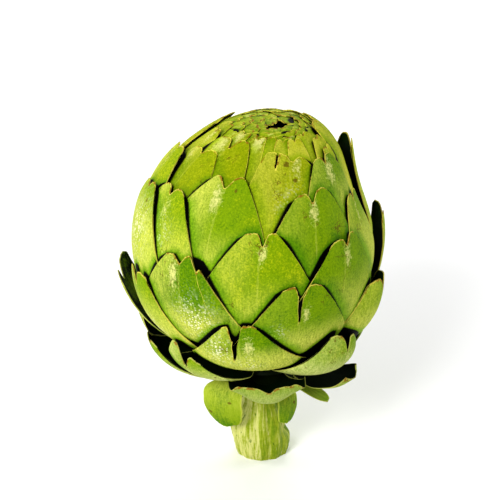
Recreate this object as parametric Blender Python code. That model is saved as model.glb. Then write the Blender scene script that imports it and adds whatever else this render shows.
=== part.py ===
"""A globe artichoke standing on its cut stem: stem with heart, closed inner bud, bracts and stem leaves.

The frame is metres, +Z up, with the origin at the middle of the flat cut under the stem and -Y at the front.
Bracts are counted outwards from the crown. Each one sits a golden turn round from the last and a little
further down the head, so their places follow from a few driving dimensions.
"""

import math

import bmesh
import bpy
from mathutils import Vector

MM = 0.001

# The head: an egg-shaped envelope that the tips of the closed bracts lie on.
HEAD_RADIUS = 48.5 * MM
HEAD_HALF_HEIGHT = 53.5 * MM
HEAD_CENTRE_Z = 91 * MM
HEAD_MEAN_RADIUS = 51 * MM
NECK_Z = 45 * MM
CROWN_SWING = 17.5 * MM  # how the head's axis swings towards +X by the crown
BELLY_SWING = 13.5 * MM  # and towards -X at the belly

# The bracts' spiral.
GOLDEN_TURN = 137.5
CLOSED_BRACTS = 46
FRONT_BRACT = 23
FRONT_AZIMUTH = 2.0
FRONT_TIP_ANGLE = 62.5  # from the crown, seen from the head's centre
TIP_ANGLE_STEP = 2.75
FOOT_ANGLE = 152.0  # where the bracts grow from the heart
NEST_SLOPE = 0.205  # each bract dives this far under its neighbours for each unit of length
WIDEST_HALF_TURN = math.radians(40)

# A bract's outline by the crown in millimetres, and how much it has grown by the front bract.
YOUNG_BRACT = dict(width=36, crest=6.5, belly=22, notch=3.2, shoulder=2.2)
BRACT_GROWTH = dict(width=13, crest=1, belly=6, notch=2.6, shoulder=1)
BELLY_SHARE = 0.6  # the widest place is never further down than this share of the length
FOOT_SHARE = 0.5  # the foot's width as a share of the widest
NOTCH_WIDTH = 0.25  # of half the tip

# The small scales that close the crown crowd together: their tips' angle goes as the root of their count.
INNERMOST_SCALE = -4
OUTERMOST_SCALE = 6
SCALE_COUNT_START = -19
SCALE_TIP_ANGLE = 17.5  # of the outermost one
SCALE_SLOPE = 0.5
SCALE_LENGTH = 24 * MM
SCALE_THICKNESS = 0.6 * MM
YOUNG_SCALE = dict(width=8, crest=2.2, belly=8.4, notch=0.8, shoulder=1)
SCALE_GROWTH = dict(width=6, crest=0.8, belly=0, notch=0.5, shoulder=0)
BUD_DOME_ANGLE = 11.5  # the bud's dome shows inside this angle
BUD_DEPTH = 5.4 * MM

# The lowest bracts stand off the head, more and more from this one on.
FIRST_LOOSE_BRACT = 33
TIP_LIFT = 0.3 * MM  # of the ones that lie close
TIP_LIFT_STEP = 0.5 * MM
BULGE_STEP = 0.75 * MM
WIDEST_BULGE = 9.5 * MM

# A bract's walls and the grid that it is made from.
EDGE_THICKNESS = 0.7 * MM
MIDDLE_THICKNESS = 1.4 * MM
THICKENS_OVER = 28 * MM
COLUMNS = 8
LONGEST_ROW = 15 * MM
LOOSE_LEAF_ROWS = 5
ROW_CROWDING = 1.2  # over 1, the rows stand closer at the tip
CLEARANCE = 0.4 * MM

# The stem, from the flat cut up into the heart, as (height, radius).
STEM_PROFILE = [
    (0, 10.7), (3, 11.6), (9, 12.2), (15, 11.6), (20, 9.8), (24, 8.2), (30, 7.7), (35, 8.3), (38.5, 10)
]
STEM_SIDES = 24
STEM_RIB_DEPTH = 0.35 * MM
STEM_RIBS = 8
STEM_RIBS_END = 31 * MM
SCAR_AZIMUTH = 80.0
SCAR_Z = 14 * MM
SCAR_DEPTH = 3.0 * MM
SCAR_HALF_TURN = 0.5  # radians
SCAR_HALF_HEIGHT = 4 * MM

GREEN = (0.33, 0.48, 0.06, 1)
PALE_GREEN = (0.50, 0.58, 0.16, 1)
BUD_GREEN = (0.42, 0.50, 0.09, 1)

# What sets single bracts apart: turn and slip are degrees added to the spiral's place, lift is how far the
# tip stands off the head and bulge how far the middle does, hug draws the rims back in, and tilt makes the
# lobe at +u the lower one. The rest stays as the spiral has it.
BRACT_CHARACTER = {
    7: dict(turn=-6, slip=4.8, crest=7.4 * MM, notch=4.3 * MM, notch_at=0.15, tilt=-0.9 * MM, lift=0.9 * MM),
    8: dict(slip=-2),
    10: dict(turn=2.6, slip=2.2, crest=7.9 * MM, notch=2.7 * MM, notch_at=0.16, tilt=2.8 * MM, lift=0),
    12: dict(turn=6, slip=3.9, crest=7.6 * MM, notch=1.5 * MM, notch_at=0.2, tilt=-2.9 * MM, lift=0),
    13: dict(turn=-18, slip=-0.6, width=37 * MM, crest=6.1 * MM, notch=3.6 * MM, lift=0.2 * MM),
    15: dict(turn=-6.8, width=44 * MM, notch=4.8 * MM, tilt=-0.6 * MM, lift=0.7 * MM),
    16: dict(turn=-6, slip=3, lift=2.6 * MM, lift_power=4),
    17: dict(turn=19, slip=-4, width=33 * MM, crest=6.2 * MM, notch=1.5 * MM, lift=0.3 * MM, lift_power=4),
    18: dict(turn=-5.4, slip=-0.7, crest=8 * MM, notch=4.1 * MM, tilt=-0.7 * MM),
    20: dict(turn=-6.8, slip=-2.3, notch=3 * MM, lift=1.1 * MM),
    21: dict(turn=-21, slip=0.6, width=30 * MM, crest=6.4 * MM, notch=2.8 * MM, lift=0.1 * MM),
    23: dict(turn=-1.2, slip=0.3, notch=4.9 * MM, notch_at=0.1),
    25: dict(turn=10, slip=-5, crest=6.7 * MM, notch=1.8 * MM, tilt=-2 * MM, lift=0.1 * MM),
    26: dict(turn=-9.8, crest=8.1 * MM, notch=3.6 * MM, notch_at=0.2, tilt=-0.8 * MM, lift=0.7 * MM),
    28: dict(turn=-5.7, slip=-0.8, crest=8.5 * MM, notch=3 * MM, tilt=-0.8 * MM, lift=1 * MM),
    29: dict(
        turn=-3.5, slip=1.5, width=26 * MM, tilt=-1 * MM, lift=3.9 * MM, lift_power=1, bulge=0.1 * MM, hug=0.4
    ),
    30: dict(turn=3, slip=1),
    31: dict(turn=-0.9, slip=1.1, crest=8.5 * MM, notch=4.2 * MM),
    32: dict(lift=1.05 * MM, bulge=1.4 * MM),
    33: dict(slip=1, width=36 * MM, lift=1.5 * MM, lift_power=1, bulge=2 * MM, hug=0.6),
    34: dict(turn=-1, slip=4, width=36 * MM, lift=3.8 * MM, lift_power=1, bulge=4.6 * MM, hug=0.95),
    36: dict(
        turn=2.8, slip=4.1, crest=7.2 * MM, notch=6.5 * MM, notch_at=-0.2, tilt=-0.5 * MM,
        lift=1.2 * MM, bulge=6.3 * MM, hug=0.38
    ),
    37: dict(lift=2.35 * MM, bulge=3.9 * MM, hug=0.1),
    38: dict(turn=-3, slip=-2, width=29 * MM, crest=9 * MM, tilt=3 * MM, lift=7 * MM, bulge=4 * MM, hug=0.2),
    39: dict(turn=6, slip=9, width=40 * MM, tilt=2 * MM, lift=4.3 * MM, bulge=8.2 * MM, hug=0.5),
    41: dict(turn=7, slip=10, width=36 * MM, tilt=1.5 * MM, lift=4.4 * MM, bulge=7.4 * MM, hug=0.22),
    42: dict(slip=4, lift=4.5 * MM, bulge=9.3 * MM, hug=0.12),
    43: dict(hug=0.36),
    45: dict(hug=0.1),
    46: dict(turn=1, width=42 * MM, lift=6 * MM, bulge=6.8 * MM, hug=0.2),
}

# Leaves that hang loose under the head. The midline of each runs outwards in the plane at its azimuth,
# through (radius, height) points in millimetres; facing is the azimuth that the middle of its face looks to.
# Its rims rise above the midline by tip_cup at the tip and by cup further in.
LOOSE_LEAVES = {
    "base_bract_44": dict(
        azimuth=4, line=[(13, 39.5), (22, 33), (33, 34), (37, 47.5)],
        width=30, tip_share=0.75, tip_cup=1.5, cup=13
    ),
    "base_bract_47": dict(
        azimuth=66, line=[(12.5, 40), (22, 37), (34, 37), (41, 43.5)],
        width=22, tip_share=0.45, tip_cup=3, cup=3.5
    ),
    "base_bract_48": dict(
        azimuth=-164, line=[(12.5, 39), (23, 32.5), (34, 36), (40, 45)],
        width=28, tip_share=0.4, tip_cup=4, cup=4
    ),
    "base_bract_50": dict(
        azimuth=115, line=[(12.5, 39), (24, 32), (34, 35), (40, 42)],
        width=22, tip_share=0.4, tip_cup=4, cup=4
    ),
    "base_bract_51": dict(
        azimuth=-104, line=[(12.5, 39), (26, 30.5), (42, 41.5), (49, 56.5)],
        width=21.5, tip_share=0.4, tip_cup=3.5, cup=3.5
    ),
    "stem_leaf_left": dict(
        azimuth=-50, facing=-25, line=[(9.9, 36), (23, 40), (23.5, 29), (19, 17)],
        width=16.5, tip_share=0.35, tip_cup=-1.5, cup=-1.5
    ),
    "stem_leaf_right": dict(
        azimuth=44, facing=35, line=[(8.8, 30.5), (15.5, 35), (17.5, 27), (14.5, 17.5)],
        width=9, tip_share=0.5, tip_cup=-1.5, cup=-1.5
    ),
    "stem_leaf_pointed": dict(
        azimuth=56, line=[(9.6, 35), (15, 36.5), (24, 33.5), (31, 31)],
        width=7.5, tip_share=0.1, tip_cup=0.5, cup=0.5
    ),
}
LEAF_TIP_END = 0.3  # of the length, from the tip: the rounded end
LEAF_CUP_END = 0.45  # where the cup is full


def smooth_step(x):
    x = min(max(x, 0.0), 1.0)
    return x * x * (3 - 2 * x)


def envelope(angle, offset):
    """(radius, height) on the head's envelope at this angle from the crown, moved out by offset."""
    radius = HEAD_RADIUS * math.sin(angle)
    height = HEAD_HALF_HEIGHT * math.cos(angle)
    normal = Vector((HEAD_HALF_HEIGHT * math.sin(angle), HEAD_RADIUS * math.cos(angle))).normalized()
    return radius + offset * normal.x, HEAD_CENTRE_Z + height + offset * normal.y


def axis_shift(z):
    """How far the head's axis stands towards +X at this height; none on the stem."""
    h = max(z - NECK_Z, 0) / (HEAD_CENTRE_Z + HEAD_HALF_HEIGHT - NECK_Z)
    return (CROWN_SWING * h - BELLY_SWING) * h


def around(radius, azimuth, z):
    """The point at this radius and height; azimuth in radians runs from the front towards +X."""
    return Vector((radius * math.sin(azimuth) + axis_shift(z), -radius * math.cos(azimuth), z))


def grown(young, growth, share):
    return {name: (size + share * growth[name]) * MM for name, size in young.items()}


def bract_facts(number):
    """The sizes of one closed bract: its place on the spiral, its outline and how it lies."""
    character = BRACT_CHARACTER.get(number, {})
    steps = number - FRONT_BRACT
    layer_angle = FRONT_TIP_ANGLE + TIP_ANGLE_STEP * steps
    tip_angle = layer_angle + character.get("slip", 0)
    loose = max(number - FIRST_LOOSE_BRACT, 0)
    bract = dict(
        azimuth=math.radians(FRONT_AZIMUTH + GOLDEN_TURN * steps + character.get("turn", 0)),
        layer_angle=math.radians(layer_angle),
        tip_angle=math.radians(tip_angle),
        length=HEAD_MEAN_RADIUS * math.radians(FOOT_ANGLE - tip_angle),
        slope=NEST_SLOPE,
        walls=(EDGE_THICKNESS, MIDDLE_THICKNESS),
        notch_at=0.0,
        tilt=0.0,
        lift=TIP_LIFT + TIP_LIFT_STEP * loose,
        lift_power=1 if loose else 2,
        bulge=min(BULGE_STEP * loose, WIDEST_BULGE),
        hug=0.4,
    )
    growth = smooth_step((number - OUTERMOST_SCALE) / (FRONT_BRACT - OUTERMOST_SCALE))
    bract.update(grown(YOUNG_BRACT, BRACT_GROWTH, growth))
    bract.update({name: value for name, value in character.items() if name not in ("turn", "slip")})
    return bract


def scale_facts(number):
    """The sizes of one small scale of the crown; the spiral runs on inwards through them."""
    rank = (number - SCALE_COUNT_START) / (OUTERMOST_SCALE + 0.5 - SCALE_COUNT_START)
    tip_angle = math.radians(SCALE_TIP_ANGLE * math.sqrt(rank))
    scale = dict(
        azimuth=math.radians(FRONT_AZIMUTH + GOLDEN_TURN * (number - FRONT_BRACT)),
        layer_angle=tip_angle,
        tip_angle=tip_angle,
        length=SCALE_LENGTH,
        slope=SCALE_SLOPE,
        walls=(SCALE_THICKNESS, SCALE_THICKNESS),
        notch_at=0.0,
        tilt=0.0,
        lift=0.0,
        lift_power=1,
        bulge=0.0,
        hug=0.0,
    )
    scale.update(grown(YOUNG_SCALE, SCALE_GROWTH, rank))
    return scale


def half_width(bract, down):
    """Half the bract's width at this distance below the tops of its lobes."""
    belly = min(bract["belly"], BELLY_SHARE * bract["length"])
    widest = bract["width"] / 2
    if down < belly:
        rise = 1 - (1 - down / belly) ** 1.3
        return bract["crest"] + (widest - bract["crest"]) * rise**0.9
    past_belly = (down - belly) / (bract["length"] - belly)
    return widest * (1 - (1 - FOOT_SHARE) * past_belly**2)


def tip_drop(bract, u):
    """How far the tip's edge lies below the lobe tops at u, which runs from -1 to 1 across the bract."""
    notch = bract["notch"] * math.exp(-(((u - bract["notch_at"]) / NOTCH_WIDTH) ** 2))
    shoulder = bract["shoulder"] * (2 * max(0, abs(u) - 0.5)) ** 2
    return notch + shoulder + bract["tilt"] * u


def thickness(walls, u, down):
    edge, middle = walls
    return edge + (middle - edge) * (1 - u * u) * smooth_step(down / THICKENS_OVER)


def bract_point(bract, u, v, side):
    """A point of a closed bract: v is 0 at the tip and 1 at the foot, side is 1 outside and -1 inside."""
    drop = tip_drop(bract, u)
    down = drop + (bract["length"] - drop) * v
    angle = bract["tip_angle"] + down / HEAD_MEAN_RADIUS
    along = min(down / bract["length"], 1)
    stand_off = bract["lift"] * (1 - along) ** bract["lift_power"] + bract["bulge"] * 4 * along * (1 - along)
    stand_off *= 1 - bract["hug"] * u * u
    stand_off -= bract["slope"] * HEAD_MEAN_RADIUS * (angle - bract["layer_angle"])
    radius, z = envelope(angle, stand_off + side * thickness(bract["walls"], u, down) / 2)
    half_turn = min(half_width(bract, bract["length"] * v) / max(radius, 1 * MM), WIDEST_HALF_TURN)
    return around(radius, bract["azimuth"] + u * half_turn, z)


def sheet_solid(name, place, rows, colour):
    """A closed shell from a grid: place(u, v, side) sets its outer and inner faces, joined round the rim."""
    bm = bmesh.new()
    bmesh.ops.create_grid(bm, x_segments=COLUMNS, y_segments=rows, size=1)
    outer = list(bm.verts)
    copied = bmesh.ops.duplicate(bm, geom=bm.verts[:] + bm.edges[:] + bm.faces[:])
    inner = [v for v in copied["geom"] if isinstance(v, bmesh.types.BMVert)]
    bmesh.ops.reverse_faces(bm, faces=[f for f in copied["geom"] if isinstance(f, bmesh.types.BMFace)])
    rims = [e for e in bm.edges if e.is_boundary]
    for verts, side in ((outer, 1), (inner, -1)):
        for vert in verts:
            v = ((1 - vert.co.y) / 2) ** ROW_CROWDING
            vert.co = place(vert.co.x, v, side)
    bmesh.ops.bridge_loops(bm, edges=rims)
    bmesh.ops.triangulate(bm, faces=bm.faces[:])
    bmesh.ops.recalc_face_normals(bm, faces=bm.faces[:])
    return finish(name, bm, colour)


def finish(name, bm, colour):
    """Turns the bmesh into a smooth-shaded object with its own material."""
    mesh = bpy.data.meshes.new(name)
    bm.to_mesh(mesh)
    bm.free()
    mesh.shade_smooth()
    mesh.set_sharp_from_angle(angle=math.radians(40))
    mesh.materials.append(skin(name + "_skin", colour))
    part = bpy.data.objects.new(name, mesh)
    bpy.context.scene.collection.objects.link(part)
    return part


def skin(name, colour):
    material = bpy.data.materials.new(name)
    material.use_nodes = True
    shader = material.node_tree.nodes["Principled BSDF"]
    shader.inputs["Base Color"].default_value = colour
    shader.inputs["Roughness"].default_value = 0.55
    shader.inputs["Metallic"].default_value = 0
    return material


def bract_name(number):
    zone = "crown" if number <= 12 else "head" if number <= 37 else "base"
    return f"{zone}_bract_{number:02d}"


def closed_bract(name, bract):
    rows = math.ceil(bract["length"] / LONGEST_ROW) + 1
    return sheet_solid(name, lambda u, v, side: bract_point(bract, u, v, side), rows, GREEN)


def bezier(points, t):
    """The point at t on the cubic curve through this (radius, height) control line, and its direction."""
    a, b, c, d = (Vector(p) * MM for p in points)
    s = 1 - t
    place = a * s**3 + b * 3 * s * s * t + c * 3 * s * t * t + d * t**3
    return place, ((b - a) * s * s + (c - b) * 2 * s * t + (d - c) * t * t).normalized()


def loose_leaf_point(leaf, u, v, side):
    """A point of a loose leaf, with u across it, v from 0 at the tip to 1 at the foot, side as on a bract."""
    middle, along = bezier(leaf["line"], 1 - v)
    under = Vector((along.y, -along.x))
    rounding = math.sqrt(1 - (1 - min(v / LEAF_TIP_END, 1)) ** 2)
    half = leaf["width"] * MM / 2 * (leaf["tip_share"] + (1 - leaf["tip_share"]) * rounding)
    half *= 1 - (1 - FOOT_SHARE) * smooth_step(2 * v - 1)
    cup = leaf["tip_cup"] + (leaf["cup"] - leaf["tip_cup"]) * smooth_step(v / LEAF_CUP_END)
    wall = thickness((EDGE_THICKNESS, MIDDLE_THICKNESS), u, v * THICKENS_OVER)
    raised = middle + under * (side * wall / 2 - cup * MM * u * u * (1 - 0.6 * v))
    facing = math.radians(leaf.get("facing", leaf["azimuth"]))
    point = around(raised.x, math.radians(leaf["azimuth"]), raised.y)
    return point + Vector((math.cos(facing), math.sin(facing), 0)) * (u * half)


def loose_leaf(name, leaf):
    return sheet_solid(name, lambda u, v, side: loose_leaf_point(leaf, u, v, side), LOOSE_LEAF_ROWS, GREEN)


def heart_line():
    """(radius, height) where the feet of the outermost and the innermost bracts meet the heart."""
    foot = math.radians(FOOT_ANGLE)
    deepest = NEST_SLOPE * HEAD_MEAN_RADIUS * foot
    return envelope(foot, -0.8 * MM), envelope(foot, -deepest)


def turned(name, profile, sides, colour, wobble=None):
    """A closed solid spun from (radius, height) points, bottom to top, about the swung axis."""
    bm = bmesh.new()
    line = [bm.verts.new((radius, 0, z)) for radius, z in profile]
    edges = [bm.edges.new(pair) for pair in zip(line, line[1:])]
    whole_turn = 2 * math.pi
    bmesh.ops.spin(
        bm, geom=line + edges, axis=(0, 0, 1), cent=(0, 0, 0), angle=whole_turn, steps=sides, use_merge=True
    )
    bmesh.ops.remove_doubles(bm, verts=bm.verts[:], dist=0.01 * MM)
    bmesh.ops.holes_fill(bm, edges=[e for e in bm.edges if e.is_boundary], sides=0)
    for vert in bm.verts:
        x, y, z = vert.co
        radius, azimuth = math.hypot(x, y), math.atan2(x, -y)
        vert.co = around(radius - (wobble(azimuth, z) if wobble else 0), azimuth, z)
    bmesh.ops.triangulate(bm, faces=bm.faces[:])
    bmesh.ops.recalc_face_normals(bm, faces=bm.faces[:])
    return finish(name, bm, colour)


def stem_wobble(azimuth, z):
    """How far the stem's side lies inside its profile: shallow ribs, and the scar of a cut side leaf."""
    ribs = STEM_RIB_DEPTH * (1 - math.cos(STEM_RIBS * azimuth)) / 2
    from_scar = math.remainder(azimuth - math.radians(SCAR_AZIMUTH), 2 * math.pi)
    off_scar = (from_scar / SCAR_HALF_TURN) ** 2 + ((z - SCAR_Z) / SCAR_HALF_HEIGHT) ** 2
    scar = SCAR_DEPTH * math.exp(-off_scar)
    return (ribs + scar) * (1 - smooth_step((z - STEM_RIBS_END) / (8 * MM)))


def stem_and_heart():
    outer, inner = heart_line()
    inset = CLEARANCE + 0.1 * MM
    profile = [(radius * MM, z * MM) for z, radius in STEM_PROFILE]
    profile += [(0.78 * outer[0], outer[1] - 0.2 * MM), (outer[0] - inset, outer[1] + 0.6 * MM)]
    profile += [((outer[0] + inner[0]) / 2 - inset, (outer[1] + inner[1]) / 2), (inner[0] - inset, inner[1])]
    return turned("stem_and_heart", profile, STEM_SIDES, PALE_GREEN, stem_wobble)


def inner_bud():
    """The innermost bracts, still shut in one cone, which fills the head inside the separate bracts."""
    _, heart_top = heart_line()
    profile = [(heart_top[0] - 1.5 * MM, heart_top[1] + CLEARANCE)]
    for angle in [*range(130, 39, -15), *range(35, 0, -5)]:
        below_bracts = NEST_SLOPE * HEAD_MEAN_RADIUS * math.radians(angle) + BUD_DEPTH
        past_dome = max(angle - BUD_DOME_ANGLE, 0)
        below_scales = SCALE_SLOPE * HEAD_MEAN_RADIUS * math.radians(past_dome) + CLEARANCE
        profile.append(envelope(math.radians(angle), -min(below_bracts, below_scales)))
    profile.append((0, HEAD_CENTRE_Z + HEAD_HALF_HEIGHT - CLEARANCE))
    return turned("inner_bud", profile, STEM_SIDES, BUD_GREEN)


def clear_scene():
    for old in list(bpy.data.objects):
        bpy.data.objects.remove(old)


def build():
    clear_scene()
    stem_and_heart()
    inner_bud()
    for number in range(INNERMOST_SCALE, OUTERMOST_SCALE + 1):
        closed_bract(f"bud_scale_{number - INNERMOST_SCALE + 1:02d}", scale_facts(number))
    for number in range(OUTERMOST_SCALE + 1, CLOSED_BRACTS + 1):
        if bract_name(number) not in LOOSE_LEAVES:
            closed_bract(bract_name(number), bract_facts(number))
    for name, leaf in LOOSE_LEAVES.items():
        loose_leaf(name, leaf)


build()
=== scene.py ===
import math
import random

import bmesh
import bpy
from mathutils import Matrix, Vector, noise


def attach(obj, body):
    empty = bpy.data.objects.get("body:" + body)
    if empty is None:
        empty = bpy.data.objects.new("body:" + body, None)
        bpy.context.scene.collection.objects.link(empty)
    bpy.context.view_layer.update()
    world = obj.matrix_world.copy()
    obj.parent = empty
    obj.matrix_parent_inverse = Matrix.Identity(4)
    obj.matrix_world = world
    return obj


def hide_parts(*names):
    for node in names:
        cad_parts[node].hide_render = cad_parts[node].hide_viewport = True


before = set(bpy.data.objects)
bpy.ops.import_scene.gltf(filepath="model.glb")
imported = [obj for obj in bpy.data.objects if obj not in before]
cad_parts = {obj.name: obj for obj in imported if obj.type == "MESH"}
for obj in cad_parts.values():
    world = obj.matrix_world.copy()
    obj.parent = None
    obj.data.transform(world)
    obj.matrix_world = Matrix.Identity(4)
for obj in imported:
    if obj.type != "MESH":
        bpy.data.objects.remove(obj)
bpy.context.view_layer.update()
mm = 0.001
cm = 0.01
scene = bpy.context.scene
print("frame loaded:", len(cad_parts), "nodes")

# The head is an ellipsoid on a swung axis. Its bracts and the crown's small scales stand on one spiral, and
# they are numbered from the top down. Azimuths are degrees from the front, -Y, towards +X, and tip angles are
# degrees from the crown.
head = dict(
    radius=48.5 * mm,
    halfHeight=53.5 * mm,
    centreZ=91 * mm,
    meanRadius=51 * mm,  # turns an angle from the crown into a length down a bract
    neckZ=45 * mm,
    crownSwing=17.5 * mm,
    bellySwing=13.5 * mm,
    hollow=5.5 * mm,  # how far the right shoulder falls in, at what height and over what height
    hollowZ=118 * mm,
    hollowHigh=18 * mm,
)
spiral = dict(
    goldenTurn=137.5,
    frontBract=23,
    frontAzimuth=2.0,
    frontTipAngle=62.5,
    tipAngleStep=2.75,
    footAngle=152.0,
    openSlope=0.07,  # how fast a bract sinks in where it lies open, and how fast under the rest
    nestSlope=0.205,
    opensBetween=(31, 36),  # the bracts over which the open slope gives way to the nested one
    dives=(34, 60),  # how far down, in millimetres, the one slope turns into the other
    widestHalfTurn=math.radians(40),
    firstLoose=33,
    dished=44,  # made with the loose leaves
    lastClosed=46,
)
crown = dict(
    innermost=-33,
    separate=-4,  # the first scale with a node of its own
    outermost=6,
    countStart=-34,  # the scales grow from here on
    tipAngle=18.0,
    tipPower=0.65,
    sunk=1.2,  # how deep the growth starts, in millimetres
    unevenLift=(-0.1, 0.0, 0.1, 0.5),
    slope=0.13,
    deepSlope=0.4,
    dives=(18, 34),
    widestHalfTurn=math.radians(65),
    gather=Vector((1.4, -5.5)) * mm,  # where the scales gather, from the head's axis
    gatherFades=(2, 24),  # degrees from the crown
    length=34 * mm,
)


def smoothStep(x, low=0.0, high=1.0):
    x = min(max((x - low) / (high - low), 0.0), 1.0)
    return x * x * (3 - 2 * x)


def blend(first, second, share):
    return first + (second - first) * share


def bell(x, width):
    return math.exp(-((x / width) ** 2))


def grain(x, y, seed):  # smooth noise from -1 to 1, different for each seed
    return noise.noise(Vector((x, y, seed * 7.31)))


def envelope(angle, offset):  # (radius, height) at this angle from the crown, moved out by offset
    radius = head["radius"] * math.sin(angle)
    height = head["halfHeight"] * math.cos(angle)
    out = Vector((head["halfHeight"] * math.sin(angle), head["radius"] * math.cos(angle))).normalized()
    return radius + offset * out.x, head["centreZ"] + height + offset * out.y


def axisShift(z):  # how far the head's axis stands towards +X at this height
    h = max(z - head["neckZ"], 0) / (head["centreZ"] + head["halfHeight"] - head["neckZ"])
    return (head["crownSwing"] * h - head["bellySwing"]) * h


def around(radius, azimuth, z):  # a point of the head, from its distance to the swung axis
    rightwards = max(math.sin(azimuth), 0.0) ** 3
    radius -= min(head["hollow"], 0.3 * radius) * rightwards * bell(z - head["hollowZ"], head["hollowHigh"])
    return Vector((radius * math.sin(azimuth) + axisShift(z), -radius * math.cos(azimuth), z))


def colour(red, green, blue):
    return (red, green, blue, 1.0)


class Wire:  # a shader socket that takes part in sums
    def __init__(self, shader, socket):
        self.shader = shader
        self.socket = socket

    def sum(self, operation, *others, swap=False):
        values = [self, *others]
        if swap:
            values.reverse()
        return self.shader.node("Math", {"operation": operation}, dict(enumerate(values)))

    def __add__(self, other):
        return self.sum("ADD", other)

    __radd__ = __add__

    def __mul__(self, other):
        return self.sum("MULTIPLY", other)

    __rmul__ = __mul__

    def __sub__(self, other):
        return self.sum("SUBTRACT", other)

    def __rsub__(self, other):
        return self.sum("SUBTRACT", other, swap=True)

    def __abs__(self):
        return self.sum("ABSOLUTE")


class Skin:  # a material with a Principled shader, and short ways to add nodes to it
    def __init__(self, name):
        self.material = bpy.data.materials.new(name)
        self.material.use_nodes = True
        self.tree = self.material.node_tree
        self.surface = self.tree.nodes["Principled BSDF"]

    def node(self, kind, settings=None, inputs=None, output=0):
        made = self.tree.nodes.new("ShaderNode" + kind)
        for key, value in (settings or {}).items():
            setattr(made, key, value)
        for key, value in (inputs or {}).items():
            self.feed(made.inputs[key], value)
        return Wire(self, made.outputs[output])

    def feed(self, socket, value):
        if isinstance(value, Wire):
            self.tree.links.new(value.socket, socket)
        else:
            socket.default_value = value

    def set(self, **inputs):
        for key, value in inputs.items():
            self.feed(self.surface.inputs[key.replace("_", " ")], value)

    def mix(self, factor, first, second):
        return self.node("Mix", {"data_type": "RGBA"}, {0: factor, 6: first, 7: second}, output=2)

    def dim(self, tint, by):
        return self.node("VectorMath", {"operation": "SCALE"}, {"Vector": tint, "Scale": by})

    def range(self, value, low, high, to=(0.0, 1.0)):
        sockets = {"Value": value, "From Min": low, "From Max": high, "To Min": to[0], "To Max": to[1]}
        return self.node("MapRange", {"interpolation_type": "SMOOTHSTEP"}, sockets)

    def stretch(self, vector, by):
        return self.node("VectorMath", {"operation": "MULTIPLY"}, {0: vector, 1: by})

    def noise(self, vector, scale, detail=2.0, roughness=0.5):
        sockets = {"Vector": vector, "Scale": scale, "Detail": detail, "Roughness": roughness}
        return self.node("TexNoise", None, sockets)

    def fibres(self, place, across, along, detail=2.0, roughness=0.5):  # noise drawn out along a piece
        return self.noise(self.stretch(place, (across, along, 1.0)), 1.0, detail, roughness)

    def spots(self, vector, scale):  # distance from the nearest of many scattered points
        return self.node("TexVoronoi", {"feature": "F1"}, {"Vector": vector, "Scale": scale})

    def attribute(self, name, output="Fac"):
        return self.node("Attribute", {"attribute_name": name}, output=output)

    def axes(self, vector):  # x, y and z as values
        split = self.node("SeparateXYZ", None, {"Vector": vector})
        return [Wire(self, socket) for socket in split.socket.node.outputs]

    def parts(self, tint):  # red, green and blue as values
        split = self.node("SeparateColor", None, {"Color": tint})
        return [Wire(self, socket) for socket in split.socket.node.outputs]


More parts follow.
